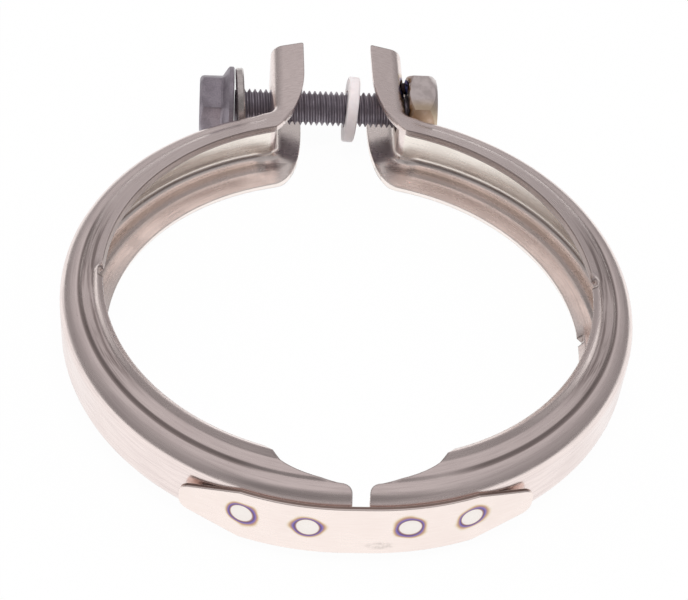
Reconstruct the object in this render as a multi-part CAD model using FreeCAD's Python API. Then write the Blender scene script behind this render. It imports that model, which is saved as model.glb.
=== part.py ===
import FreeCAD, Part
import math
import os

# V-band clamp that pulls two flanged exhaust pipes together.  Millimetres and degrees.
# The ring lies flat: Z is its axis, the bolt runs along X with its head at -X, and Y runs
# from the hinge strap (-Y) to the ears (+Y).  The origin is the middle of the ring, halfway
# up the channel.  The clamp is drawn open, as it is before it is fitted to a pipe.

Vector = FreeCAD.Vector
ALONG = Vector(1, 0, 0)
ACROSS = Vector(0, 1, 0)
UP = Vector(0, 0, 1)
ORIGIN = Vector(0, 0, 0)

# ---- driving dimensions -------------------------------------------------------------
# Ring
ring_radius = 55.8          # outside of the web, once the clamp is closed
sheet = 1.4                 # thickness of the band
groove_depth = 8.8          # outside of the web to the free edge of a leg
web_half = 7.05             # half the height of the web, measured to its sharp corners
shoulder_radius = 3.3       # outer bend between web and leg
ledge_depth = 3.9           # the leg runs nearly flat as far as this
ledge_rise = 0.30
step_run = 0.5              # then it steps away from the middle
step_rise = 0.50
leg_angle = 17.0            # lean of the plain legs beyond the step
valley_setback = 2.1        # flared legs: hollow in front of the lip, from the free edge
valley_rise = 0.35
lip_setback = 1.2           # top of the turned-up lip, from the free edge
lip_rise = 1.20
open_angle = 2.15           # each half stands open by this much
front_gap = 3.2             # between the two halves, under the strap
front_corner = 2.0          # rounded corner of the legs at the gap
taper_angle = 23.0          # the legs start to narrow here, towards the gap
taper_depth = 5.0           # how much narrower they are at the gap
notch_angle = 89.0          # from the strap round to the notch in the legs
notch_width = 1.8
notch_depth = 1.1
lip_fade = 5.0              # the lip dies away over this angle beyond the notch
step_fade = 3.0             # the step dies away over this angle, ahead of the ear

# Ears
plate_face = 15.2           # outer face of each ear plate from the middle
ear_height = 20.8           # the ears stand this far out of the ring
ear_bend = 2.0              # bend between web and ear plate, on its hollow side
ear_depth = 7.4             # outer face of the plate to the free edge of the ear's legs
ear_corner = 0.6            # corner of the free edge at the ear's end
ear_hole = 10.0             # clearance for the bolt, which swings as the clamp closes
ear_curve_height = 10.2     # the S-shaped edges run straight beyond this height
ear_curve_angle = 164.2     # they leave the ring's free edge here
upper_curve = (0.8, 11.2)   # pull of the upper edge at its ring end and at its ear end
lower_curve = (5.6, 12.2)   # the same for the lower edge

# Strap
strap_sheet = 1.0
strap_width = 12.8
strap_end_width = 5.6
strap_half_length = 32.5
strap_shoulder = 21.5       # the strap narrows beyond this
strap_corner = 1.5
strap_hug_angle = 22.0      # the strap leaves the band here and runs on straight
strap_height = -0.85        # middle of the strap's width
weld_places = (-21.2, -9.5, 8.9, 20.6)      # spot welds along the strap
weld_height = 1.0           # spot welds above the middle of the strap
weld_size = 4.2
weld_pit = 0.18

# Bolt, nut and washers
bolt_height = 7.7           # the bolt's axis from the outside of the ring
thread_size = 8.0
bolt_length = 45.0
bolt_seat = -23.6           # under the flange of the head
bolt_point = 1.1            # chamfer at the bolt's end
head_flats = 13.0
head_height = 7.8           # flange and hexagon together
head_turn = 25.5            # a corner of the head, from +Z towards -Y
head_chamfer = 0.9
flange_size = 17.7
flange_rim = 1.5
nut_flats = 16.0
nut_height = 6.5
nut_turn = 48.4
nut_inner_chamfer = 1.2
nut_outer_chamfer = 2.0
nut_mouth = 0.8
nut_standoff = 0.9          # height of the weld projections
foot_size = 2.6             # weld projections
foot_place = 5.8            # weld projections from the bolt's axis
thread_play = 0.06          # radial play of the bolt in the nut
thread_relief = 0.05        # the bolt's thread is this much under its nominal radius
washer_bore = 8.7
head_washer_setback = 0.2   # the flange of the head stands this far over its washer
head_washer_sheet = 1.8
head_washer_place = -22.0
head_washer_tilt = -3.5
head_washer_edge = 0.3
retainer_size = 15.0
retainer_sheet = 2.5
retainer_place = 3.3
retainer_tilt = 4.6
retainer_edge = 0.25
tilt_axis = Vector(0, 0.78, -0.63)      # the loose washers are cocked about this line

# ---- worked out from them -----------------------------------------------------------
lip_radius = ring_radius - groove_depth
half_shift = (ring_radius + strap_sheet / 2) * math.sin(math.radians(open_angle))
half_drop = (ring_radius + strap_sheet / 2) * (1 - math.cos(math.radians(open_angle)))
half_centre = Vector(-half_shift, -half_drop, 0)
plate_x = half_shift - plate_face
bolt_line = ring_radius + bolt_height
tip_y = ring_radius + ear_height + half_drop
front_angle = math.degrees(math.asin((front_gap / 2 - half_shift) / ring_radius))
clear = groove_depth + web_half     # cutters reach this far past what they cut


def lines(*points):
    return [Part.makeLine(start, stop) for start, stop in zip(points, points[1:])]


def rounded_path(points, corners, radius):
    """Edges through the points; the listed corners are rounded, the others stay sharp."""
    edges = []
    start = points[0]
    for index in range(1, len(points) - 1):
        corner = points[index]
        if index in corners:
            back = (start - corner).normalize()
            ahead = (points[index + 1] - corner).normalize()
            half_turn = (math.pi - back.getAngle(ahead)) / 2
            enter = corner + back * (radius * math.tan(half_turn))
            leave = corner + ahead * (radius * math.tan(half_turn))
            toward = (back + ahead).normalize()
            crown = corner + toward * (radius / math.cos(half_turn) - radius)
            edges.append(Part.makeLine(start, enter))
            edges.append(Part.Arc(enter, crown, leave).toShape())
            start = leave
        else:
            edges.append(Part.makeLine(start, corner))
            start = corner
    edges.append(Part.makeLine(start, points[-1]))
    return edges


def moved_aside(points, distance):
    """The same path in the XZ plane, moved sideways, with its corners kept sharp."""
    sides = [(after - before).normalize().cross(ACROSS) for before, after in zip(points, points[1:])]
    moved = []
    for point, one, other in zip(points, sides[:1] + sides, sides + sides[-1:]):
        moved.append(point + (one + other) * (distance / (1 + one.dot(other))))
    return moved


# ---- band halves --------------------------------------------------------------------
def leg_points(lip, step):
    """Upper leg, outer surface, as (depth from the web's outside, height).

    lip and step run from 0 to 1: how far the turned-up lip and the step are formed.
    """
    lean = math.radians(leg_angle)
    ledge = (ledge_depth, web_half + ledge_rise)
    foot = (ledge_depth + step_run, ledge[1] + step_rise)
    end = groove_depth - sheet * math.sin(lean)
    plain = [ledge, foot]
    for depth in (groove_depth - valley_setback, end):
        plain.append((depth, foot[1] + (depth - foot[0]) * math.tan(lean)))
    valley = (groove_depth - valley_setback, foot[1] + valley_rise)
    flared = [ledge, foot, valley, (groove_depth - lip_setback, valley[1] + lip_rise)]
    slope = (plain[-1][1] - web_half) / end
    points = []
    for (depth, height), (lip_depth, lip_height) in zip(plain, flared):
        smooth = web_half + slope * depth
        height = smooth + (height - smooth) * step
        points.append((depth + (lip_depth - depth) * lip, height + (lip_height - height) * lip))
    return points


def channel_section(place, lip=0.0, step=0.0):
    """Sheet section of the channel; place turns a depth into an X coordinate."""
    outline = [(0.0, web_half)] + leg_points(lip, step)
    outer = [Vector(place(depth), 0, height) for depth, height in reversed(outline)]
    outer += [Vector(place(depth), 0, -height) for depth, height in outline]
    inner = moved_aside(outer, sheet * (place(1.0) - place(0.0)))
    shoulders = (len(outline) - 1, len(outline))
    edges = rounded_path(outer, shoulders, shoulder_radius) + lines(outer[-1], inner[-1])
    edges += rounded_path(inner[::-1], shoulders, shoulder_radius - sheet)
    return Part.Face(Part.Wire(edges + lines(inner[0], outer[0])))


def polar(angle, radius):
    """Point of the left half: angle from the strap, round by the bolt head's side."""
    turn = math.radians(angle)
    return Vector(-radius * math.sin(turn), -radius * math.cos(turn), 0)


def plan_cutter(edges, bottom, top):
    """Solid that trims the legs to an outline drawn in plan."""
    face = Part.Face(Part.Wire(edges))
    face.translate(UP * bottom)
    return face.extrude(UP * (top - bottom))


def front_taper():
    """Trims the legs so that they narrow towards the gap and end in a round corner."""
    corner_angle = math.degrees(front_corner / ring_radius)
    knee = polar(front_angle + corner_angle, lip_radius + taper_depth)
    crown = polar(front_angle + 0.3 * corner_angle, lip_radius + taper_depth + 0.3 * front_corner)
    end = polar(front_angle, lip_radius + taper_depth + front_corner)
    # angle and depth along the narrowing edge, as shares of its whole run
    run = [(1.0, -0.26), (0.85, -0.02), (0.64, 0.42), (0.36, 0.78)]
    curve = Part.BSplineCurve()
    curve.interpolate([polar(taper_angle * angle, lip_radius + taper_depth * depth)
                       for angle, depth in run] + [knee])
    start = polar(taper_angle, lip_radius + taper_depth * run[0][1])
    inner = lip_radius - clear
    return plan_cutter([curve.toShape(), Part.Arc(knee, crown, end).toShape()]
                       + lines(end, polar(front_angle - clear, end.Length),
                               polar(front_angle - clear, inner), polar(taper_angle, inner), start),
                       -clear, clear)


def ear_trim(pulls, bottom, top):
    """Trims one leg along the S-shaped edge that runs from the ring up into the ear."""
    free = plate_x + ear_depth
    turn = math.radians(ear_curve_angle)
    start = polar(ear_curve_angle, lip_radius)
    end = Vector(free, ring_radius + ear_curve_height + half_drop, 0)
    curve = Part.BezierCurve()
    curve.setPoles([start, start + Vector(-math.cos(turn), math.sin(turn), 0) * pulls[0],
                    end - ACROSS * pulls[1], end])
    corner = Vector(free, tip_y, 0)
    crown = corner - (ALONG + ACROSS) * (ear_corner * 0.3)
    far = half_shift + clear
    before = polar(ear_curve_angle - 8, lip_radius - 0.3)
    outline = [curve.toShape()] + lines(end, corner - ACROSS * ear_corner)
    outline.append(Part.Arc(corner - ACROSS * ear_corner, crown, corner - ALONG * ear_corner).toShape())
    outline += lines(corner - ALONG * ear_corner, corner + ACROSS - ALONG * ear_corner,
                     Vector(far, corner.y + 1, 0), Vector(far, before.y - 6, 0),
                     Vector(before.x, before.y - 6, 0), before, start)
    return plan_cutter(outline, bottom, top)


def side_notch():
    """Small notch in both legs, where their lips change shape."""
    half = math.degrees(notch_width / 2 / lip_radius)
    inner = lip_radius - notch_depth
    outer = lip_radius + notch_depth
    corners = [polar(notch_angle - half * 1.3, inner), polar(notch_angle - half, outer),
               polar(notch_angle + half, outer), polar(notch_angle + half * 1.3, inner)]
    return plan_cutter(lines(*corners, corners[0]), -clear, clear)


def ring_section(angle, lip, step):
    """Section of the ring at an angle from the strap."""
    face = channel_section(lambda depth: ring_radius - depth, lip, step)
    face.rotate(ORIGIN, UP, -90 - angle)
    return face


def faded_run(start, stop, before, after):
    """Stretch of the ring whose section changes gently from one shape to another."""
    wires = []
    for share in (0.0, 0.25, 0.5, 0.75, 1.0):
        ease = share * share * (3 - 2 * share)
        forms = [first + (last - first) * ease for first, last in zip(before, after)]
        wires.append(ring_section(start + (stop - start) * share, *forms).OuterWire)
    return Part.makeLoft(wires, True, False)


def band_half():
    """Left half: one pressed channel, bent outward into an ear at its end."""
    bend_x = plate_x - ear_bend
    bend_y = math.sqrt((ring_radius + ear_bend) ** 2 - bend_x ** 2)
    bend_angle = 180 - math.degrees(math.asin(-bend_x / (ring_radius + ear_bend)))
    bend_centre = Vector(bend_x, bend_y, 0)
    lip_end = notch_angle + lip_fade
    step_end = bend_angle - step_fade
    lipped, stepped, smooth = (1, 1), (0, 1), (0, 0)

    bend_outline = channel_section(lambda depth: ear_bend + depth)
    bend_outline.rotate(ORIGIN, UP, 90 - bend_angle)
    bend_outline.translate(bend_centre)
    plate_outline = channel_section(lambda depth: plate_x + depth)
    plate_outline.translate(ACROSS * bend_y)

    body = ring_section(front_angle, *lipped).revolve(ORIGIN, UP, front_angle - notch_angle)
    body = body.fuse([
        faded_run(notch_angle, lip_end, lipped, stepped),
        ring_section(lip_end, *stepped).revolve(ORIGIN, UP, lip_end - step_end),
        faded_run(step_end, bend_angle, stepped, smooth),
        bend_outline.revolve(bend_centre, UP, bend_angle - 90),
        plate_outline.extrude(ACROSS * (tip_y - bend_y))])
    hole = Part.makeCylinder(ear_hole / 2, 4 * sheet,
                             Vector(plate_x - 2 * sheet, bolt_line + half_drop, 0), ALONG)
    body = body.cut([front_taper(), ear_trim(upper_curve, 0, clear),
                     ear_trim(lower_curve, -clear, 0), side_notch(), hole])
    body.translate(half_centre)
    return body.removeSplitter()


# ---- hinge strap --------------------------------------------------------------------
def on_band(side, angle, radius):
    """Point round the front of a half, side -1 or 1, at an angle from the hinge."""
    out = Vector(side * math.sin(angle), -math.cos(angle), 0)
    return Vector(side * half_shift, -half_drop, 0) + out * radius


def strap_run():
    """Inner face of the strap in plan, from end to end."""
    hug = math.radians(strap_hug_angle)
    edges = []
    for side in (-1, 1):
        leave = on_band(side, hug, ring_radius)
        run = (strap_half_length - abs(leave.x)) / math.cos(hug)
        tip = leave + Vector(side * math.cos(hug), math.sin(hug), 0) * run
        front = on_band(side, 0, ring_radius)
        arc = Part.Arc(leave, on_band(side, hug / 2, ring_radius), front).toShape()
        half = lines(tip, leave) + [arc] + lines(front, Vector(0, front.y, 0))
        edges += half if side < 0 else half[::-1]
    return Part.Wire(edges)


def hinge_strap():
    """Spring strap across the front gap, spot welded to both halves."""
    path = strap_run()
    section = path.makeOffset2D(strap_sheet, 0, True, True, False)
    if section.CenterOfMass.y > path.CenterOfMass.y:
        section = path.makeOffset2D(-strap_sheet, 0, True, True, False)
    section.translate(UP * (strap_height - strap_width / 2))
    strap = section.extrude(UP * strap_width)

    half, end = strap_width / 2, strap_end_width / 2
    corners = [(-strap_half_length, -end), (-strap_shoulder, -half), (strap_shoulder, -half),
               (strap_half_length, -end), (strap_half_length, end), (strap_shoulder, half),
               (-strap_shoulder, half), (-strap_half_length, end)]
    ring = [Vector(x, 0, z + strap_height) for x, z in corners]
    outline = Part.makePolygon(ring + ring[:1])
    outline = outline.makeOffset2D(-strap_corner, 2).makeOffset2D(strap_corner, 0)
    strap = strap.common(Part.Face(outline).extrude(ACROSS * (-ring_radius - clear)))

    pits = []
    for place in weld_places:
        side = math.copysign(1, place)
        angle = math.asin((abs(place) - half_shift) / ring_radius)
        floor = on_band(side, angle, ring_radius + strap_sheet - weld_pit)
        out = on_band(side, angle, 1) - on_band(side, angle, 0)
        pits.append(Part.makeCylinder(weld_size / 2, strap_sheet,
                                      floor + UP * (strap_height + weld_height), out))
    return strap.cut(pits)


# ---- bolt, nut and washers ----------------------------------------------------------
def around_bolt(x, radius, angle):
    """Point at a radius from the bolt's axis, its angle taken from +Z towards -Y."""
    turn = math.radians(angle)
    return Vector(x, bolt_line - radius * math.sin(turn), radius * math.cos(turn))


def hexagon(flats, start, height, turn):
    """Hexagonal prism along X."""
    corners = [around_bolt(start, flats / math.sqrt(3), turn + 60 * step) for step in range(7)]
    return Part.Face(Part.makePolygon(corners)).extrude(ALONG * height)


def turned(profile):
    """Solid of revolution on the bolt's axis, from (x, radius) points."""
    points = [Vector(x, bolt_line + radius, 0) for x, radius in profile]
    face = Part.Face(Part.makePolygon(points + points[:1]))
    return face.revolve(Vector(0, bolt_line, 0), ALONG, 360)


def clamp_bolt():
    """Hexagon flange bolt; its thread is left plain at full size."""
    top = bolt_seat - head_height
    rim = bolt_seat - flange_rim
    flat = head_flats / 2
    corner = head_flats / math.sqrt(3)
    head = hexagon(head_flats, top, head_height - flange_rim, head_turn).common(
        turned([(top, 0), (top, flat - 0.3), (top + head_chamfer, corner), (rim, corner), (rim, 0)]))
    flange = turned([(rim - 1.0, 0), (rim - 1.0, flat - 0.1), (rim, flange_size / 2 - 0.5),
                     (rim + 0.4, flange_size / 2), (bolt_seat - 0.2, flange_size / 2),
                     (bolt_seat, flange_size / 2 - 0.3), (bolt_seat, 0)])
    tip = bolt_seat + bolt_length
    radius = thread_size / 2 - thread_relief
    shank = turned([(bolt_seat - 1, 0), (bolt_seat - 1, radius), (tip - bolt_point, radius),
                    (tip, radius - bolt_point), (tip, 0)])
    return head.fuse([flange, shank]).removeSplitter()


def weld_nut(ear):
    """Hexagon nut; three of its corners stand on projections welded to the ear."""
    near = plate_face + nut_standoff
    far = near + nut_height
    corner = nut_flats / math.sqrt(3)
    flat = nut_flats / 2
    body = hexagon(nut_flats, near, nut_height, nut_turn).common(
        turned([(near, 0), (near, flat - 0.2), (near + nut_inner_chamfer, corner),
                (far - nut_outer_chamfer, corner), (far, flat - 0.5), (far, 0)]))
    feet = []
    for turn in (nut_turn + 60, nut_turn + 180, nut_turn + 300):
        root = around_bolt(plate_face - sheet / 2, foot_place, turn)
        feet.append(Part.makeCylinder(foot_size / 2, nut_standoff + sheet, root, ALONG).cut(ear))
    radius = thread_size / 2 + thread_play
    bore = Part.makeCylinder(radius, 2 * nut_height, Vector(near - nut_height / 2, bolt_line, 0), ALONG)
    mouth = Part.makeCone(radius, radius + nut_mouth, nut_mouth,
                          Vector(far - nut_mouth, bolt_line, 0), ALONG)
    return body.fuse(feet).cut([bore, mouth]).removeSplitter()


def washer(size, thickness, place, tilt, edge):
    """Flat washer that hangs loose on the bolt, a little cocked."""
    half = thickness / 2
    outer, inner = size / 2, washer_bore / 2
    ring = turned([(place - half, inner), (place - half, outer - edge), (place - half + edge, outer),
                   (place + half - edge, outer), (place + half, outer - edge), (place + half, inner)])
    ring.rotate(Vector(place, bolt_line, 0), tilt_axis, tilt)
    return ring


def build():
    left = band_half()
    right = left.mirror(ORIGIN, ALONG)
    parts = {
        "band_half_left": left,
        "band_half_right": right,
        "hinge_strap": hinge_strap(),
        "clamp_bolt": clamp_bolt(),
        "weld_nut": weld_nut(right),
        "head_washer": washer(flange_size - 2 * head_washer_setback, head_washer_sheet,
                              head_washer_place, head_washer_tilt, head_washer_edge),
        "retaining_washer": washer(retainer_size, retainer_sheet, retainer_place,
                                   retainer_tilt, retainer_edge),
    }
    os.makedirs("parts", exist_ok=True)
    for name, shape in parts.items():
        shape = shape.Solids[0] if len(shape.Solids) == 1 else shape
        print(f"{name}: valid {shape.isValid()}, solids {len(shape.Solids)}, "
              f"volume {shape.Volume:.1f}")
        shape.exportStep(f"parts/{name}.step")


build()
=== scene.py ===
# %% [markdown]
# # A V-band clamp, dressed for the camera
# Two pressed steel channels, joined at the front by a spring strap, close round a pair of
# pipe flanges when a bolt pulls their ears together.  The solids come packed from the
# workshop's CAD model.  This lesson gives them their steel, rebuilds the pieces that need
# finer work than a solid has, and sets up a small studio.

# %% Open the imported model
import math
import bpy
from mathutils import Matrix, Vector


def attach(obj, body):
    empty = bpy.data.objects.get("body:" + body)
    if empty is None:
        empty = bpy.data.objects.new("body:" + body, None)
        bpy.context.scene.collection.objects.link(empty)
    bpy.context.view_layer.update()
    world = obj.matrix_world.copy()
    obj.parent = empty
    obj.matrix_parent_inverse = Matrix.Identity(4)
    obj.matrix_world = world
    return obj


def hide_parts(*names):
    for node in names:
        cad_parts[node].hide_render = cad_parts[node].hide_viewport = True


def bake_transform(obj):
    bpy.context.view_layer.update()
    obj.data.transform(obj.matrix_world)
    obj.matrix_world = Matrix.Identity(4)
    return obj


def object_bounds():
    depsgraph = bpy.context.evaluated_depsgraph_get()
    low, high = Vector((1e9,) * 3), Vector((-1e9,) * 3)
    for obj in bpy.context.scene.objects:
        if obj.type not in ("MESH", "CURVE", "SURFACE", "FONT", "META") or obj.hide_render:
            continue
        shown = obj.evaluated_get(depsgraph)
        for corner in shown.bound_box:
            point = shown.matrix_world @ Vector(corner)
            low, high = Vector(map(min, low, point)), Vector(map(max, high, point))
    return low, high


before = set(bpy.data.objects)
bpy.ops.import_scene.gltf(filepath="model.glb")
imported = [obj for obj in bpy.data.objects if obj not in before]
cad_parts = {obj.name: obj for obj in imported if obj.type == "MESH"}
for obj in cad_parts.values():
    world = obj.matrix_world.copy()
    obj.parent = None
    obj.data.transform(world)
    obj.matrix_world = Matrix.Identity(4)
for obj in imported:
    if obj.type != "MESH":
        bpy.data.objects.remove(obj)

MM = 0.001
cad_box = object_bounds()
print("solids:", sorted(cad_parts))

# %% [markdown]
# ## The camera
# The camera looks down at the ring at 45 degrees, from a little to one side, and is held
# slightly crooked.  A camera's matrix holds its right, up and backward directions as columns,
# so we work those three out from the angles and set the matrix at once.

# %% Place the camera
look_down = math.radians(45.13)
look_aside = math.radians(-6.41)
crooked = math.radians(5.98)
camera_distance = 352.9 * MM
camera_nudge = (-0.6 * MM, 1.2 * MM)
film_width = 36.0
focal_length = 90.24
nearest_seen = 10 * MM

back = Vector((math.sin(look_aside) * math.cos(look_down),
               -math.cos(look_aside) * math.cos(look_down), math.sin(look_down)))
level = Vector((math.cos(look_aside), math.sin(look_aside), 0))
right = math.cos(crooked) * level + math.sin(crooked) * back.cross(level)
up = back.cross(right)
place = back * camera_distance + right * camera_nudge[0] + up * camera_nudge[1]

camera = bpy.data.objects.new("camera", bpy.data.cameras.new("camera"))
camera.data.sensor_width = film_width
camera.data.lens = focal_length
camera.data.clip_start = nearest_seen
camera.matrix_world = Matrix((right, up, back)).transposed().to_4x4()
camera.matrix_world.translation = place
bpy.context.scene.collection.objects.link(camera)
bpy.context.scene.camera = camera
print("camera at", [round(c, 3) for c in place])

# %% [markdown]
# ## Building a skin from rows of points
# Most turned and bent parts are easiest to make as rows of points with faces between
# neighbouring rows, like the panels of a barrel.  Sharp edges are marked by their angle, so
# the rest shades smoothly.

# %% A skin maker
def skin(name, rows, sharp):
    """Closed object whose faces join rows of points; each row is a loop."""
    across = len(rows[0])
    faces = []
    for i in range(len(rows) - 1):
        here, there = i * across, (i + 1) * across
        for j in range(across):
            k = (j + 1) % across
            faces.append((here + j, here + k, there + k, there + j))
    faces.append(tuple(range(across))[::-1])
    faces.append(tuple(range((len(rows) - 1) * across, len(rows) * across)))
    return solid_from(name, [p for row in rows for p in row], faces, sharp)


def solid_from(name, points, faces, sharp):
    """Object from points in millimetres and faces; edges over sharp degrees stay sharp."""
    mesh = bpy.data.meshes.new(name)
    mesh.from_pydata([Vector(p) * MM for p in points], [], faces)
    mesh.validate()
    mesh.shade_smooth()
    mesh.set_sharp_from_angle(angle=math.radians(sharp))
    piece = bpy.data.objects.new(name, mesh)
    bpy.context.scene.collection.objects.link(piece)
    return piece

# %% [markdown]
# ## Mixing a finish
# A metal finish is a Principled shader with noise that changes its roughness, its colour and
# its bumps.  Every recipe below is built from the same few steps, such as adding a node,
# multiplying masks or turning one range of numbers into another, so those come first.  The
# floor and the room use them too.

# %% Helpers for nodes
class Nodes:
    """A tree of shader nodes, with short ways to add to it."""

    def __init__(self, tree):
        self.tree = tree

    def join(self, source, socket):
        self.tree.links.new(source, socket)

    def add(self, kind, sources=(), **settings):
        """Adds a node; sources go to its first inputs, settings to inputs or options."""
        node = self.tree.nodes.new(kind)
        for index, source in enumerate(sources):
            if source is None:
                continue
            if hasattr(source, "is_linked"):
                self.join(source, node.inputs[index])
            else:
                node.inputs[index].default_value = source
        for key, value in settings.items():
            if key in node.inputs:
                node.inputs[key].default_value = value
            else:
                setattr(node, key, value)
        return node

    def math(self, operation, *sources, clamp=False):
        node = self.add("ShaderNodeMath", sources, operation=operation, use_clamp=clamp)
        return node.outputs[0]

    def product(self, first, *others):
        for other in others:
            first = self.math("MULTIPLY", first, other)
        return first

    def squares(self, across, up):
        return self.math("ADD", self.math("POWER", across, 2.0), self.math("POWER", up, 2.0))

    def distance(self, across, up):
        return self.math("SQRT", self.squares(across, up))

    def ramp(self, value, low, high, to_low, to_high, smooth=True):
        """Value between low and high becomes a number between to_low and to_high."""
        node = self.add("ShaderNodeMapRange", [value, low, high, to_low, to_high])
        node.interpolation_type = "SMOOTHSTEP" if smooth else "LINEAR"
        return node.outputs[0]

    def window(self, value, low, high, soft):
        """One between low and high, fading to nothing over soft on both sides."""
        return self.product(self.ramp(value, low - soft, low, 0.0, 1.0),
                            self.ramp(value, high, high + soft, 1.0, 0.0))

    def noise(self, where, scale, detail=4.0, roughness=0.6):
        node = self.add("ShaderNodeTexNoise", Scale=scale, Detail=detail, Roughness=roughness)
        self.join(where, node.inputs["Vector"])
        return node.outputs["Fac"]

    def mix(self, share, first, second):
        """Colour between first and second; each is a socket or a colour."""
        node = self.add("ShaderNodeMix", data_type="RGBA")
        for value, socket in ((share, node.inputs[0]), (first, node.inputs[6]),
                              (second, node.inputs[7])):
            if hasattr(value, "is_linked"):
                self.join(value, socket)
            else:
                socket.default_value = (*value, 1)
        return node.outputs[2]


# %% Helpers for finishes
class Finish(Nodes):
    """One material, made round its Principled shader."""

    def __init__(self, name, colour, metallic, roughness):
        self.material = bpy.data.materials.new(name)
        self.material.use_nodes = True
        super().__init__(self.material.node_tree)
        self.shader = self.tree.nodes["Principled BSDF"]
        self.set("Base Color", (*colour, 1))
        self.set("Metallic", metallic)
        self.set("Roughness", roughness)

    def set(self, socket, value):
        self.shader.inputs[socket].default_value = value

    def link(self, source, socket):
        self.join(source, self.shader.inputs[socket])

    def millimetres(self, kind="Object"):
        """Place in the object, or in its UV map, in millimetres: whole, and as X, Y and Z."""
        where = self.add("ShaderNodeTexCoord").outputs[kind]
        scaled = self.add("ShaderNodeVectorMath", [where], operation="SCALE", Scale=1 / MM)
        parts = self.add("ShaderNodeSeparateXYZ", [scaled.outputs[0]])
        return scaled.outputs[0], parts.outputs

    def bump(self, height, depth, strength, rounding=None):
        """Height from 0 to 1 becomes bumps of that depth; rounding softens the edges."""
        node = self.add("ShaderNodeBump", Strength=strength, Distance=depth * MM)
        self.join(height, node.inputs["Height"])
        if rounding:
            soft = self.add("ShaderNodeBevel", [self.product(rounding, MM)], samples=6)
            self.join(soft.outputs[0], node.inputs["Normal"])
        self.link(node.outputs[0], "Normal")

    def onto(self, piece):
        piece.data.materials.clear()
        piece.data.materials.append(self.material)

# %% [markdown]
# ## Pressed stainless band
# The halves are rolled and pressed from bright stainless strip.  The rollers leave faint
# lines that run round the ring, so we wrap the noise round it: it changes slowly with the
# angle about the half's own middle, and quickly with the radius and the height.
#
# Every place on a half then has three measures: its angle from the front, its depth in from
# the ring's outside, and its height from the middle plane.  Painted shade darkens the places
# where those measures say a groove, a corner, the notch or a cut edge is, and a painted
# reflection makes the inside of the channel and the lower leg behind the notch a little creamier.
# Behind the notch a real half is nearly smooth, so the edges of its step get a larger
# rounding there.

# %% Where things are on the band
ring_radius = 55.8
half_shift = 2.11
bolt_line = 63.5
ear_face = 15.2
notch_angle = 89.0
step_depth = 4.0
leg_depth = 8.4
web_inside = 4.4
leg_inside = 5.0
leg_outside = 7.2


# %% Painted shade in grooves, corners and cut edges
def band_painted_shade(steel, angle, depth, height, z, smears):
    """Masks of the painted shade in grooves, corners, the notch and cut edges, each with its
    strength.
    """
    # Painted shade: the step crease, the inner step, the notch, the valley, the inside corner and
    # the upper cut edge are darkened where shade falls.
    outside = steel.ramp(height, leg_outside - 0.3, leg_outside, 0.0, 1.0)
    behind = steel.ramp(angle, notch_angle + 3.0, notch_angle + 11.0, 0.0, 1.0)
    step_line = steel.product(
        outside, steel.window(depth, step_depth - 0.25, step_depth + 0.25, 0.35),
        steel.window(angle, 25.0, notch_angle + 15.0, 12.0))
    inner_step = steel.product(
        steel.window(height, 5.75, 6.75, 0.25),
        steel.window(depth, step_depth - 0.6, step_depth + 1.0, 0.4), behind)
    notch = steel.product(
        steel.window(angle, notch_angle - 1.4, notch_angle + 1.4, 0.4),
        steel.ramp(depth, leg_depth - 1.0, leg_depth - 0.6, 0.0, 1.0))
    valley = steel.product(
        outside, steel.window(depth, step_depth + 0.7, step_depth + 2.5, 0.6),
        steel.window(angle, notch_angle - 27.0, notch_angle + 11.0, 16.0),
        steel.ramp(smears, 0.42, 0.62, 0.15, 1.0))
    corner = steel.product(
        steel.window(height, leg_inside - 0.35, leg_inside, 0.35),
        steel.window(depth, 1.2, 2.5, 0.4))
    cut_edge = steel.product(
        steel.ramp(depth, leg_depth - 0.15, leg_depth, 0.0, 0.8),
        steel.ramp(angle, notch_angle, notch_angle + 4.0, 0.0, 1.0),
        steel.ramp(z, 0.0, 1.0, 0.0, 1.0))
    return ((step_line, 0.75), (inner_step, 0.45), (notch, 0.7), (valley, 0.8), (corner, 0.85),
            (cut_edge, 1.0))


# %% Band finish
line_stretch = 0.04
edge_rounding = 0.5
step_rounding = 1.8


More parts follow.
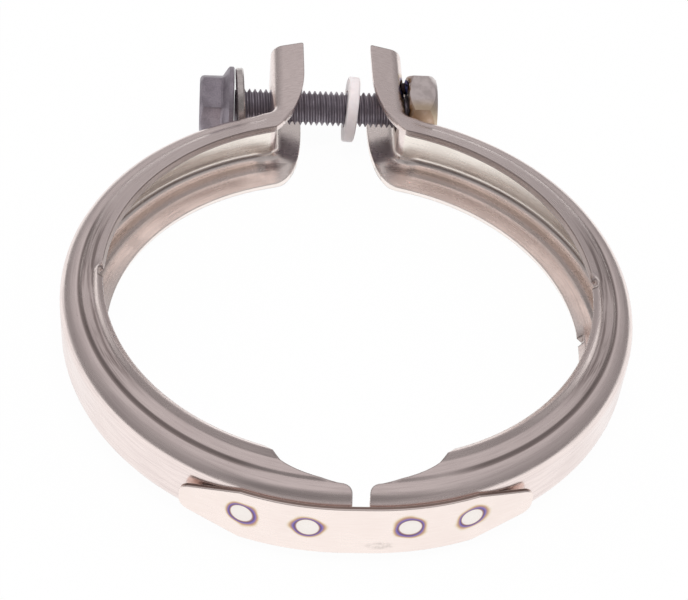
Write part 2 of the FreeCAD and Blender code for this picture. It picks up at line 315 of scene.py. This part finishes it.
def band_finish(name, side, heat=None):
    """Rolled stainless steel; side is -1 for the left half and 1 for the right half."""
    steel = Finish(name, (0.91, 0.80, 0.77), 1.0, 0.3)
    where, (x, y, z) = steel.millimetres()
    aside = steel.math("SUBTRACT", steel.product(x, float(side)), half_shift)
    turn = steel.math("ARCTAN2", aside, steel.product(y, -1.0))
    angle = steel.product(turn, math.degrees(1))
    radius = steel.distance(aside, y)
    depth = steel.math("SUBTRACT", ring_radius, radius)
    height = steel.math("ABSOLUTE", z)

    wrapped = steel.add("ShaderNodeCombineXYZ", [steel.product(angle, line_stretch), radius, z])
    lines = steel.noise(wrapped.outputs[0], 2.6, 5.0, 0.7)
    smears = steel.noise(wrapped.outputs[0], 1.1, 4.0, 0.6)
    blotch = steel.noise(where, 0.09, 3.0, 0.5)
    grain = steel.noise(where, 3.5, 3.0, 0.6)
    steel.link(steel.math("ADD", steel.ramp(blotch, 0.35, 0.65, 0.20, 0.30),
                          steel.ramp(lines, 0.3, 0.7, -0.03, 0.05)), "Roughness")

    colour = steel.mix(steel.ramp(lines, 0.35, 0.7, 0.0, 1.0), (0.94, 0.825, 0.79),
                       (0.82, 0.71, 0.685))
    scuff = steel.product(steel.ramp(grain, 0.64, 0.74, 0.0, 1.0),
                          steel.ramp(blotch, 0.50, 0.62, 0.0, 0.7))
    colour = steel.mix(scuff, colour, (0.36, 0.30, 0.28))
    # Painted reflection: the inside of the web is made a little creamier.
    inside_reflection = steel.product(steel.ramp(height, web_inside + 0.8, web_inside, 0.0, 1.0),
                           steel.ramp(depth, 1.0, 1.3, 0.0, 0.9))
    colour = steel.mix(inside_reflection, colour, (0.99, 0.925, 0.85))
    # Painted reflection: the lower leg behind the notch is made a little creamier.
    lower_leg_reflection = steel.product(steel.ramp(z, 0.4 - web_inside, -0.4 - web_inside, 0.0, 0.75),
                              steel.ramp(angle, notch_angle - 3.0, notch_angle + 7.0, 0.0, 1.0))
    colour = steel.mix(lower_leg_reflection, colour, (0.99, 0.915, 0.865))
    # Painted shade from the masks above darkens the steel, patchy along the roller lines.
    for mask, strength in band_painted_shade(steel, angle, depth, height, z, smears):
        patchy_shade = steel.product(mask, steel.ramp(lines, 0.25, 0.6, strength, strength * 0.75))
        colour = steel.mix(patchy_shade, colour, (0.13, 0.085, 0.075))
    if heat:
        colour = heat(steel, (x, y, z), colour)
    steel.link(colour, "Base Color")

    relief = steel.math("ADD", steel.product(lines, 0.7), steel.product(grain, 0.3))
    relief = steel.math("ADD", relief, steel.product(smears, 2.0))
    softer = steel.product(steel.window(depth, step_depth - 1.0, step_depth + 1.6, 0.8),
                           steel.ramp(angle, notch_angle + 3.0, notch_angle + 21.0, 0.0, 1.0))
    rounding = steel.ramp(softer, 0.0, 1.0, edge_rounding, step_rounding)
    steel.bump(relief, 0.012, 0.6, rounding)
    return steel


# %% Dress the band
weld_radius = 7.4
weld_depth = 0.9


def weld_heat(steel, position, colour):
    """Colours that the nut's welding leaves on the ear."""
    x, y, z = position
    off = steel.distance(steel.math("SUBTRACT", y, bolt_line), z)
    away = steel.math("ABSOLUTE", steel.math("SUBTRACT", x, ear_face))
    reach = steel.math("MAXIMUM", steel.product(steel.math("SUBTRACT", off, weld_radius), 0.45),
                       steel.math("SUBTRACT", away, weld_depth))
    for low, high, share, shade in ((0.7, 0.2, 0.55, (0.50, 0.34, 0.17)),
                                    (0.25, 0.0, 0.85, (0.16, 0.10, 0.24)),
                                    (0.05, -0.15, 0.95, (0.02, 0.025, 0.06))):
        colour = steel.mix(steel.ramp(reach, low, high, 0.0, share), colour, shade)
    return colour


band_finish("rolled_stainless", -1).onto(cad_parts["band_half_left"])
band_finish("rolled_stainless_welded", 1, weld_heat).onto(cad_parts["band_half_right"])
print("band halves dressed")

# %% [markdown]
# ## The spring strap
# The strap is one flat spring strip, bent round the front and welded to both halves.  The
# real strap bends when the clamp closes; here it is built once, in place of its solid.  We lay
# it out flat first: a run along the strip, and a width at each place.  Then each place on the
# run is carried to its place in the bend.  The clamp stands a little open, so each half's
# middle lies a shift to the side of the frame's middle and a small drop in front of it.

# %% The strap's run in plan
strap_sheet = 1.0
half_drop = 0.04
hug_angle = math.radians(22.0)
strap_reach = 32.5
arc_length = ring_radius * hug_angle
tail_length = (strap_reach - half_shift - ring_radius * math.sin(hug_angle)) / math.cos(hug_angle)
half_run = half_shift + arc_length + tail_length


def on_run(run, lift):
    """Point on the strap: run along it from its middle, lift out from the band's face."""
    side = 1 if run >= 0 else -1
    beyond = abs(run) - half_shift
    if beyond <= 0:
        return run, -ring_radius - half_drop - lift
    turn = min(beyond / ring_radius, hug_angle)
    straight = max(beyond - arc_length, 0)
    x = half_shift + (ring_radius + lift) * math.sin(turn) + straight * math.cos(turn)
    y = -half_drop - (ring_radius + lift) * math.cos(turn) + straight * math.sin(turn)
    return side * x, y


print("strap run:", round(2 * half_run, 1), "mm")

# %% The strap's outline and its welds
strap_middle = -0.85
strap_half = 6.4
strap_shoulder = 21.5
strap_end_half = 2.8
strap_corner = 1.6
weld_runs = [side * (half_shift + ring_radius * math.asin((place - half_shift) / ring_radius))
             for side, place in ((-1, 21.2), (-1, 9.5), (1, 8.9), (1, 20.6))]
weld_up = 1.0
pit_radius = 2.1
pit_depth = 0.2
ridge_width = 0.9
ridge_height = 0.07


def strap_half_width(run):
    x = abs(on_run(run, 0)[0])
    beyond = max(x - strap_shoulder, 0)
    narrowing = (strap_half - strap_end_half) / (strap_reach - strap_shoulder)
    width = strap_half - beyond * narrowing
    into = x - (strap_reach - strap_corner)
    if into > 0:
        width -= strap_corner - math.sqrt(max(strap_corner ** 2 - into ** 2, 0))
    return width


def pit(run, height):
    """How far the surface sinks at a place, from the spot welds."""
    sink = 0
    for weld in weld_runs:
        off = math.hypot(run - weld, height - weld_up)
        if off < pit_radius:
            sink += pit_depth * (1 - (off / pit_radius) ** 4)
        elif off < pit_radius + ridge_width:
            sink -= ridge_height * math.sin(math.pi * (off - pit_radius) / ridge_width)
    return sink


print("welds along the strap, mm:", [round(weld, 1) for weld in weld_runs])

# %% Skin the strap
strap_columns = 280
strap_lanes = 36
strap_edge = 0.18
edge_steps = 4
sheet_origin = 0.5


def strap_section(run):
    """Loop of (height, lift) round the strip at one place."""
    width = strap_half_width(run)
    quarter = [math.pi / 2 * step / (edge_steps - 1) for step in range(edge_steps)]
    loop = [(width - strap_edge + strap_edge * math.sin(turn),
             strap_edge - strap_edge * math.cos(turn)) for turn in quarter]
    loop += [(width - strap_edge + strap_edge * math.cos(turn),
              strap_sheet - strap_edge + strap_edge * math.sin(turn)) for turn in quarter]
    far_side = [(-height, lift) for height, lift in reversed(loop)]
    for step in range(1, strap_lanes):
        height = (width - strap_edge) * (1 - 2 * step / strap_lanes)
        loop.append((height, strap_sheet - pit(run, height)))
    return loop + far_side


rows = []
layout = []
lifts = []
for column in range(strap_columns + 1):
    run = half_run * (2 * column / strap_columns - 1)
    row = []
    for height, lift in strap_section(run):
        x, y = on_run(run, lift)
        row.append((x, y, height + strap_middle))
        layout.append((sheet_origin + run * MM, sheet_origin + height * MM))
        lifts.append((lift, 0.5))
    rows.append(row)
strap = skin("strap_strip", rows, sharp=60)
for name, places in (("sheet", layout), ("rim", lifts)):
    strap.data.uv_layers.new(name=name)
    for loop in strap.data.loops:
        strap.data.uv_layers[name].data[loop.index].uv = places[loop.vertex_index]
print("strap faces:", len(strap.data.polygons))

# %% [markdown]
# The welds are small shallow pits in a halo of heat colours: steel turns straw, bronze,
# violet and blue as it gets hotter towards the weld.  The strip keeps its flat layout as a
# UV map, so the halo stays round its weld however the strip bends.  A second map keeps how
# far out in the sheet each point lies, and that darkens the cut edge.

# %% Strap finish
streak_stretch = 0.06
stain_place = (4.2, -4.0)
stain_size = (2.8, 1.1)
halo_shifts = ((0.15, -0.25), (0.25, -0.30), (0.40, 0.05), (0.10, -0.20))
halo_start = 2.0
halo_reach = 4.0
halo_colours = [(0.0, (0.95, 0.90, 0.86)), (0.49, (0.93, 0.87, 0.83)), (0.54, (0.40, 0.24, 0.20)),
                (0.60, (0.16, 0.09, 0.26)), (0.66, (0.24, 0.20, 0.52)), (0.71, (0.42, 0.24, 0.30)),
                (0.77, (0.62, 0.42, 0.26)), (0.85, (0.88, 0.74, 0.60)), (0.95, (0.95, 0.875, 0.82))]


def weld_distance(steel, run, height):
    """Distance to the middle of the nearest halo, which is a little off its weld."""
    nearest = None
    for weld, (aside, lift) in zip(weld_runs, halo_shifts):
        off = steel.distance(steel.math("SUBTRACT", run, weld + aside),
                             steel.math("SUBTRACT", height, weld_up + lift))
        nearest = off if nearest is None else steel.math("MINIMUM", nearest, off)
    return nearest


def halo_colour(steel, nearest):
    """Heat colours by distance from a weld."""
    halo = steel.add("ShaderNodeValToRGB", [steel.math("DIVIDE", nearest, halo_reach, clamp=True)])
    stops = halo.color_ramp.elements
    while len(stops) < len(halo_colours):
        stops.new(0.5)
    for stop, (position, colour) in zip(stops, halo_colours):
        stop.position = position
        stop.color = (*colour, 1)
    return halo.outputs[0]


def strap_finish():
    steel = Finish("spring_stainless", (0.97, 0.88, 0.83), 1.0, 0.32)
    sheet, (along, across, _) = steel.millimetres("UV")
    run = steel.math("SUBTRACT", along, sheet_origin / MM)
    height = steel.math("SUBTRACT", across, sheet_origin / MM)
    streaks = steel.add("ShaderNodeCombineXYZ", [steel.product(along, streak_stretch), across, 0.0])
    brushed = steel.noise(streaks.outputs[0], 3.2, 5.0, 0.65)
    cloud = steel.noise(sheet, 0.13, 3.0, 0.5)
    steel.link(steel.math("ADD", steel.ramp(cloud, 0.35, 0.65, 0.27, 0.36),
                          steel.ramp(brushed, 0.3, 0.7, -0.03, 0.04)), "Roughness")

    plain = steel.mix(steel.ramp(brushed, 0.35, 0.7, 0.0, 1.0), (1.0, 0.885, 0.835),
                      (0.97, 0.85, 0.80))
    off_stain = [steel.math("DIVIDE", steel.math("SUBTRACT", measure, place), size)
                 for measure, place, size in zip((run, height), stain_place, stain_size)]
    from_stain = steel.squares(*off_stain)
    stain = steel.product(steel.ramp(from_stain, 1.3, 0.2, 0.0, 0.5),
                          steel.ramp(steel.noise(sheet, 0.9, 4.0, 0.6), 0.36, 0.60, 0.1, 1.0))
    plain = steel.mix(stain, plain, (0.52, 0.46, 0.43))

    nearest = weld_distance(steel, run, height)
    beyond = steel.math("MAXIMUM", steel.math("SUBTRACT", nearest, halo_start), 0.0)
    spread = steel.ramp(steel.noise(sheet, 0.17, 1.0), 0.35, 0.65, 0.85, 1.45)
    nearest = steel.math("ADD", steel.math("MINIMUM", nearest, halo_start),
                         steel.product(beyond, spread))
    colour = steel.mix(steel.ramp(nearest, halo_reach - 0.7, halo_reach, 0.0, 1.0),
                       halo_colour(steel, nearest), plain)
    rim_place = steel.add("ShaderNodeUVMap", uv_map="rim").outputs[0]
    lift = steel.add("ShaderNodeSeparateXYZ", [rim_place]).outputs[0]
    steel.link(steel.mix(steel.window(lift, 0.22, 0.62, 0.12), colour, (0.34, 0.25, 0.22)),
               "Base Color")
    steel.bump(brushed, 0.006, 0.4)
    return steel


strap_finish().onto(strap)
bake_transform(strap)
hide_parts("hinge_strap")
print("strap dressed, with", len(weld_runs), "weld halos")

# %% [markdown]
# ## The bolt
# A flange bolt is turned first and then given its hexagon, and we can do the same: for each
# direction round the axis we know how far out the hexagon lets the metal reach, and where the
# chamfer meets that radius.  So each row of points is one edge of the turned shape.

# %% The bolt's head
bolt_seat = -23.6
head_end = -31.4
head_flats = 13.0
head_corner = math.radians(90 + 25.5)
chamfer_slope = 0.62
flange_radius = 8.85
flange_height = 1.5
cone_slope = 0.42
corner_share = 0.987
shank_radius = 3.6
head_steps = 144


def around_bolt(x, radius, turn):
    """Point at a radius from the bolt's axis; turn goes the right-handed way about +X."""
    return x, bolt_line + radius * math.cos(turn), radius * math.sin(turn)


def hexagon_reach(flats, corner_turn, turn):
    """How far out a hexagon reaches; its corners are cut to a share of their full reach."""
    off = (turn - corner_turn - math.pi / 6) % (math.pi / 3) - math.pi / 6
    return min(flats / 2 / math.cos(off), flats / math.sqrt(3) * corner_share)


def head_profile(turn):
    """Half section of the head in one direction, from its end to its seat."""
    reach = hexagon_reach(head_flats, head_corner, turn)
    rim = head_flats / 2 - 0.35
    chamfer_end = head_end + 0.15 + (reach - rim) * chamfer_slope
    flange_top = bolt_seat - flange_height
    cone_start = flange_top - (flange_radius - 0.6 - reach) * cone_slope - 0.35
    return [(head_end, 0.4), (head_end, rim - 0.5), (head_end + 0.04, rim - 0.12),
            (head_end + 0.15, rim), (chamfer_end, reach - 0.03), (chamfer_end + 0.12, reach),
            (cone_start - 0.5, reach), (cone_start, reach + 0.25),
            (flange_top, flange_radius - 0.45), (flange_top + 0.4, flange_radius - 0.04),
            (flange_top + 0.6, flange_radius), (bolt_seat - 0.25, flange_radius),
            (bolt_seat, flange_radius - 0.3), (bolt_seat, shank_radius)]


head_turns = [2 * math.pi * step / head_steps for step in range(head_steps)]
head_rows = zip(*[[around_bolt(x, radius, turn) for x, radius in head_profile(turn)]
                  for turn in head_turns])
head = skin("bolt_head", list(head_rows), sharp=24)
print("bolt head faces:", len(head.data.polygons))

# %% [markdown]
# ## A real thread
# The thread is a ridge wound round the shank like a ribbon.  One ribbon step has the points
# of a single tooth: root, flank, crest and flank again.  The end of one turn is the start of
# the next, so both share the same points and the skin has no seam.  Near the head the tooth
# runs out, and at the tip a chamfer cuts it down.

# %% Wind the thread
pitch = 1.25
crest = 3.95
root = 3.2
thread_start = bolt_seat + 0.2
thread_end = bolt_seat + 45.0
run_out_start = 0.6
run_out_length = 1.6
tip_chamfer = 1.0
tip_step = 0.2
tip_slope = 0.9
tip_radius = 2.6
steps_a_turn = 60
tooth = [(0.0, root), (0.15, root), (0.47, crest), (0.60, crest), (0.92, root)]


def thread_point(index, share, radius):
    """Point of the thread; index counts steps round it, share is a share of the pitch."""
    turn = 2 * math.pi * index / steps_a_turn
    x = thread_start + pitch * (index / steps_a_turn - 1 + share)
    run_out = min(max((x - thread_start - run_out_start) / run_out_length, 0), 1)
    radius = shank_radius + (radius - shank_radius) * run_out
    into_tip = x - thread_end + tip_chamfer
    if into_tip > 0:
        radius = min(radius, crest - tip_step - tip_slope * into_tip)
    return around_bolt(min(max(x, thread_start), thread_end), max(radius, tip_radius), turn)


turns = (thread_end - thread_start) / pitch + 1
ribbon_steps = int(turns * steps_a_turn)
per = len(tooth)
ridge_points = [thread_point(index, share, radius)
                for index in range(ribbon_steps + steps_a_turn + 1) for share, radius in tooth]
ridge_faces = []
for index in range(ribbon_steps):
    here, there = index * per, (index + 1) * per
    next_turn = (index + steps_a_turn) * per
    for k in range(per - 1):
        ridge_faces.append((here + k, there + k, there + k + 1, here + k + 1))
    ridge_faces.append((here + per - 1, there + per - 1, next_turn + per, next_turn))
thread = solid_from("bolt_thread", ridge_points, ridge_faces, sharp=28)

tip_steps = 48
tip_face = thread_end - 0.02
tip_turns = [2 * math.pi * step / tip_steps for step in range(tip_steps)]
tip = skin("bolt_tip", [[around_bolt(tip_face, radius, turn) for turn in tip_turns]
                        for radius in (2.75, 0.4)], sharp=32)
print("thread turns:", round(turns - 1, 1))

# %% [markdown]
# ## Zinc flake coating
# The bolt is dipped in a dull grey zinc flake coating.  It is a little rough, so the thread's
# roots stay dark and its crests catch light.  A fine speckle stands for the flakes.

# %% Bolt finish
def bolt_finish():
    coat = Finish("zinc_flake", (0.32, 0.31, 0.33), 0.75, 0.45)
    where, _ = coat.millimetres()
    flakes = coat.noise(where, 5.0, 4.0, 0.7)
    cloud = coat.noise(where, 0.35, 3.0, 0.5)
    shade = coat.mix(coat.ramp(flakes, 0.35, 0.7, 0.0, 1.0), (0.27, 0.24, 0.275),
                     (0.42, 0.375, 0.42))
    shade = coat.mix(coat.ramp(cloud, 0.45, 0.65, 0.0, 0.35), shade, (0.19, 0.165, 0.19))
    coat.link(shade, "Base Color")
    coat.link(coat.ramp(cloud, 0.3, 0.7, 0.38, 0.52), "Roughness")
    coat.bump(flakes, 0.02, 0.5)
    return coat


zinc = bolt_finish()
for piece in (head, thread, tip):
    zinc.onto(piece)
    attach(piece, "bolt")
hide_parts("clamp_bolt")
print("bolt coated")

# %% [markdown]
# ## Nut, washers and weld beads
# The nut is plain machined steel, coloured by its welding where it meets the ear.  The head's
# washer is bright steel, and the washer between the ears is nylon, which lets some light in:
# subsurface scattering gives that soft look.

# %% Nut finish
def nut_finish():
    steel = Finish("machined_steel", (0.5, 0.46, 0.44), 1.0, 0.35)
    where, (x, y, _) = steel.millimetres()
    cloud = steel.noise(where, 0.5, 4.0, 0.6)
    shade = steel.mix(steel.ramp(cloud, 0.35, 0.65, 0.0, 1.0), (0.80, 0.72, 0.70),
                      (0.66, 0.59, 0.57))
    warm = steel.product(steel.ramp(y, bolt_line - 3.5, bolt_line - 6.5, 0.0, 0.75),
                         steel.ramp(cloud, 0.2, 0.5, 0.5, 1.0))
    shade = steel.mix(warm, shade, (0.60, 0.46, 0.29))
    near = steel.math("SUBTRACT", x, steel.ramp(cloud, 0.3, 0.7, ear_face + 0.3, ear_face + 1.2))
    shade = steel.mix(steel.ramp(near, 0.6, 0.1, 0.0, 0.9), shade, (0.42, 0.24, 0.10))
    shade = steel.mix(steel.ramp(near, 0.15, -0.2, 0.0, 0.95), shade, (0.03, 0.02, 0.03))
    steel.link(shade, "Base Color")
    steel.link(steel.ramp(cloud, 0.3, 0.7, 0.28, 0.42), "Roughness")
    steel.bump(steel.noise(where, 4.0, 4.0, 0.7), 0.015, 0.5)
    return steel


nut_finish().onto(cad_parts["weld_nut"])
print("nut dressed")

# %% Washer finishes
def washer_finish():
    steel = Finish("washer_steel", (0.7, 0.65, 0.63), 1.0, 0.28)
    where, _ = steel.millimetres()
    grain = steel.noise(where, 1.2, 4.0, 0.6)
    steel.link(steel.mix(steel.ramp(grain, 0.35, 0.65, 0.0, 1.0), (0.74, 0.69, 0.67),
                         (0.62, 0.57, 0.55)), "Base Color")
    steel.link(steel.ramp(grain, 0.3, 0.7, 0.22, 0.36), "Roughness")
    steel.bump(grain, 0.012, 0.4)
    return steel


def nylon_finish():
    nylon = Finish("nylon", (0.93, 0.89, 0.89), 0.0, 0.38)
    where, _ = nylon.millimetres()
    cloud = nylon.noise(where, 0.6, 3.0, 0.5)
    nylon.link(nylon.mix(nylon.ramp(cloud, 0.3, 0.7, 0.0, 1.0), (0.88, 0.815, 0.81),
                         (0.82, 0.75, 0.755)), "Base Color")
    nylon.link(nylon.ramp(cloud, 0.3, 0.7, 0.34, 0.46), "Roughness")
    nylon.set("Subsurface Weight", 0.6)
    nylon.set("Subsurface Radius", (1.0, 0.9, 0.85))
    nylon.set("Subsurface Scale", 1.5 * MM)
    nylon.bump(nylon.noise(where, 2.5, 3.0, 0.6), 0.01, 0.4)
    return nylon


washer_finish().onto(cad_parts["head_washer"])
nylon_finish().onto(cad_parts["retaining_washer"])
print("two washers dressed")

# %% Weld beads
bead_bands = 12
bead_steps = 20
bead_out = 6.0
bead_size = 1.7
bead_thickness = 0.62
bead_centre = ear_face + 0.45
nut_corner = math.radians(90 + 48.4)


def weld_bead(name, turn):
    """Lump of metal squeezed out beside a projection of the nut."""
    rows = []
    for band in range(1, bead_bands):
        tilt = math.pi * band / bead_bands
        row = []
        for step in range(bead_steps):
            swing = 2 * math.pi * step / bead_steps
            lump = 1 + 0.14 * math.sin(3 * swing + turn) + 0.10 * math.cos(5 * tilt + 2 * swing)
            flat = bead_size * lump * math.sin(tilt)
            x = bead_centre - bead_thickness * math.cos(tilt) * lump
            row.append(around_bolt(x, bead_out + flat * math.cos(swing),
                                   turn + flat * math.sin(swing) / bead_out))
        rows.append(row)
    return skin(name, rows, sharp=80)


def bead_finish():
    metal = Finish("weld_bead", (0.05, 0.045, 0.06), 1.0, 0.3)
    where, _ = metal.millimetres()
    cloud = metal.noise(where, 1.4, 3.0, 0.6)
    shade = metal.mix(metal.ramp(cloud, 0.42, 0.52, 0.0, 1.0), (0.03, 0.025, 0.03),
                      (0.10, 0.12, 0.32))
    metal.link(metal.mix(metal.ramp(cloud, 0.55, 0.66, 0.0, 1.0), shade, (0.45, 0.22, 0.10)),
               "Base Color")
    metal.link(metal.ramp(cloud, 0.3, 0.7, 0.22, 0.4), "Roughness")
    metal.bump(cloud, 0.05, 0.6)
    return metal


bead_metal = bead_finish()
for number, corner in enumerate((1, 3, 5)):
    bead = weld_bead(f"weld_bead_{number + 1}", nut_corner + math.radians(60 * corner))
    bead_metal.onto(bead)
    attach(bead, "right_half")
print("three weld beads")

# %% [markdown]
# ## The studio
# Bright metal shows its surroundings, so the studio is as much a part of the look as the
# steel.  The floor is white paper.  Seen directly it glows evenly, so the background is
# white.  It glows in reflections too, so the upright faces are pale, but further out that
# glow fades, which gives those faces their shading.  The room is grey and gets a little
# lighter overhead.  It is darker behind the camera, which draws the soft dark band along
# every shoulder, and darker on both sides.  Seen directly, the room is nearly white.

# %% Floor
floor_half = 2.5
floor_glow = 0.97
floor_height = cad_box[0].z
floor_corners = [(x, y, floor_height) for x, y in ((-floor_half, -floor_half),
                                                   (floor_half, -floor_half),
                                                   (floor_half, floor_half),
                                                   (-floor_half, floor_half))]
floor_mesh = bpy.data.meshes.new("floor")
floor_mesh.from_pydata(floor_corners, [], [(0, 1, 2, 3)])
floor = bpy.data.objects.new("floor", floor_mesh)
bpy.context.scene.collection.objects.link(floor)

paper = Finish("white_paper", (0.9, 0.9, 0.9), 0.0, 0.9)
rays = paper.add("ShaderNodeLightPath").outputs
seen = paper.math("MAXIMUM", rays["Is Camera Ray"], rays["Is Glossy Ray"])
seen = paper.math("MAXIMUM", seen, rays["Is Transmission Ray"])
ground = paper.add("ShaderNodeTexCoord").outputs["Object"]
far_out = paper.add("ShaderNodeVectorMath", [ground], operation="LENGTH").outputs["Value"]
bright = paper.math("MAXIMUM", paper.ramp(far_out, 0.25, 0.9, 1.0, 0.4, smooth=False),
                    rays["Is Camera Ray"])
glow = paper.add("ShaderNodeEmission", [None, bright])
surface = paper.add("ShaderNodeMixShader", [paper.product(seen, floor_glow),
                                            paper.shader.outputs[0], glow.outputs[0]])
paper.join(surface.outputs[0], paper.tree.nodes["Material Output"].inputs["Surface"])
paper.onto(floor)
print("floor at", round(floor_height / MM, 1), "mm")

# %% Room
world = bpy.data.worlds.new("studio")
bpy.context.scene.world = world
world.use_nodes = True
room = Nodes(world.node_tree)
sky = room.tree.nodes["Background"]
direction = room.add("ShaderNodeTexCoord").outputs["Generated"]
sideways, _, upward = room.add("ShaderNodeSeparateXYZ", [direction]).outputs
toward = room.add("ShaderNodeVectorMath", [direction, back], operation="DOT_PRODUCT")
dome = room.ramp(upward, 0.0, 0.7, 0.42, 0.56)
dark_side = room.ramp(toward.outputs["Value"], 0.80, 0.97, 1.0, 0.42)
dark_walls = room.ramp(room.math("ABSOLUTE", sideways), 0.10, 0.75, 1.0, 0.62)
dimmed = room.product(dome, dark_side, dark_walls)
rays = room.add("ShaderNodeLightPath").outputs
shown = room.add("ShaderNodeMix", [rays["Is Camera Ray"], None, dimmed, 1.0])
room.join(shown.outputs[0], sky.inputs["Strength"])
sky.inputs["Color"].default_value = (1.0, 0.96, 0.975, 1)
print("room nodes:", len(room.tree.nodes))

# %% [markdown]
# Three soft lamps give the floor its faint shadows, and light the nylon and the bolt's dull
# coating.  They would show in the steel as hard white patches, so reflections leave them out.

# %% Lamps
softboxes = (("left_softbox", (-0.9, 0.2, 0.55), (0.5, 0.7), 3.0),
             ("right_softbox", (0.9, 0.1, 0.6), (0.5, 0.7), 3.0),
             ("top_softbox", (0.0, -0.1, 1.0), (0.6, 0.4), 5.0))


def soft_lamp(name, place, size, power):
    """Area lamp that faces the origin."""
    light = bpy.data.lights.new(name, "AREA")
    light.shape = "RECTANGLE"
    light.size, light.size_y = size
    light.energy = power
    lamp = bpy.data.objects.new(name, light)
    lamp.location = place
    lamp.rotation_mode = "QUATERNION"
    lamp.rotation_quaternion = (-Vector(place)).to_track_quat("-Z", "Y")
    lamp.visible_glossy = False
    bpy.context.scene.collection.objects.link(lamp)


for name, place, size, power in softboxes:
    soft_lamp(name, place, size, power)
print("lamps:", len(softboxes))

# %% Colour settings
bpy.context.scene.view_settings.view_transform = "Standard"
